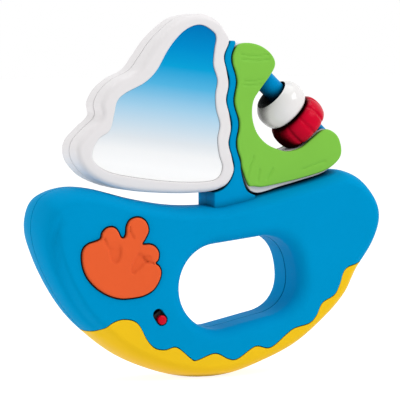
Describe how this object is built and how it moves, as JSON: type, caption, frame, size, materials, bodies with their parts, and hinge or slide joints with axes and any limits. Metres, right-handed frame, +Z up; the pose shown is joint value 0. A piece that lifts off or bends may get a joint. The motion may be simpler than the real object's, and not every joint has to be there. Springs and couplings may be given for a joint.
{
  "type": "rocking boat toy",
  "caption": "Flat-sided infant toy boat with a weighted rocker keel, grip window, push button, slide switch, two sails on a wavy mast and rings that spin on a sloping rod.",
  "frame": {"origin": "middle of the small flat under the keel, on the surface the toy stands on", "axes": "+Z up, +X towards the bow, the front with the button looks along -Y"},
  "size_m": [0.2611, 0.0496, 0.2487],
  "materials": {
    "blue_shell": "satin moulded plastic",
    "yellow_keel": "satin moulded plastic",
    "white_frame": "glossy moulded plastic",
    "panel": "glossy panel with a printed blue to white fade",
    "green_cover": "satin moulded plastic",
    "rod": "glossy moulded plastic",
    "white_ring": "glossy moulded plastic",
    "red_ring": "glossy moulded plastic",
    "orange_button": "matt moulded plastic",
    "red_knob": "glossy moulded plastic",
    "inner_plastic": "plain moulded plastic",
    "black_plastic": "plain moulded plastic",
    "board": "solder mask",
    "steel_bar": "sawn bar",
    "screw_steel": "zinc plated",
    "spring_steel": "bright wire and strip",
    "speaker_steel": "plated",
    "speaker_paper": "stiff film",
    "cell_jacket": "plain jacket"
  },
  "bodies": {
    "boat": {"hull_front_shell": "blue_shell", "hull_rear_shell": "blue_shell", "battery_door": "blue_shell", "battery_box": "blue_shell", "mast": "blue_shell", "keel": "yellow_keel", "ballast_bar": "steel_bar", "main_sail_front_frame": "white_frame", "main_sail_rear_frame": "white_frame", "jib_front_frame": "white_frame", "jib_rear_frame": "white_frame", "main_sail_front_panel": "panel", "main_sail_rear_panel": "panel", "jib_front_cover": "green_cover", "jib_rear_cover": "green_cover", "bead_rod": "rod", "button_springs": "spring_steel", "button_bracket": "inner_plastic", "speaker_clamp": "inner_plastic", "circuit_board": "board", "tact_switch": "black_plastic", "sound_chip": "black_plastic", "switch_body": "black_plastic", "speaker_frame": "speaker_steel", "speaker_cone": "speaker_paper", "speaker_magnet": "speaker_steel", "battery_cells": "cell_jacket", "battery_contacts": "spring_steel", "ballast_screws": "screw_steel", "hull_screws": "screw_steel", "keel_screws": "screw_steel", "mast_screws": "screw_steel", "main_sail_screws": "screw_steel", "jib_screws": "screw_steel", "jib_foot_screw": "screw_steel", "bracket_screws": "screw_steel", "board_screws": "screw_steel", "switch_screws": "screw_steel", "speaker_screws": "screw_steel", "door_screw": "screw_steel"},
    "button": {"push_button": "orange_button"},
    "power_switch": {"switch_knob": "red_knob"},
    "white_bead": {"white_ring": "white_ring"},
    "red_bead": {"red_ring": "red_ring"}
  },
  "joints": [
    {"name": "button_press", "type": "slide", "parent": "boat", "child": "button", "axis": [0, 1, 0], "range_m": [0, 0.003], "stiffness_N_per_m": 600, "springref_m": -0.001, "deforming": ["button_springs"]},
    {"name": "power_slide", "type": "slide", "parent": "boat", "child": "power_switch", "axis": [-0.5736, 0, 0.8192], "range_m": [0, 0.0047]},
    {"name": "white_bead_spin", "type": "hinge", "parent": "boat", "child": "white_bead", "pos_m": [0.04573, 0, 0.20141], "axis": [0.7349, 0, -0.6782], "continuous": true},
    {"name": "red_bead_spin", "type": "hinge", "parent": "boat", "child": "red_bead", "pos_m": [0.04573, 0, 0.20141], "axis": [0.7349, 0, -0.6782], "continuous": true}
  ]
}
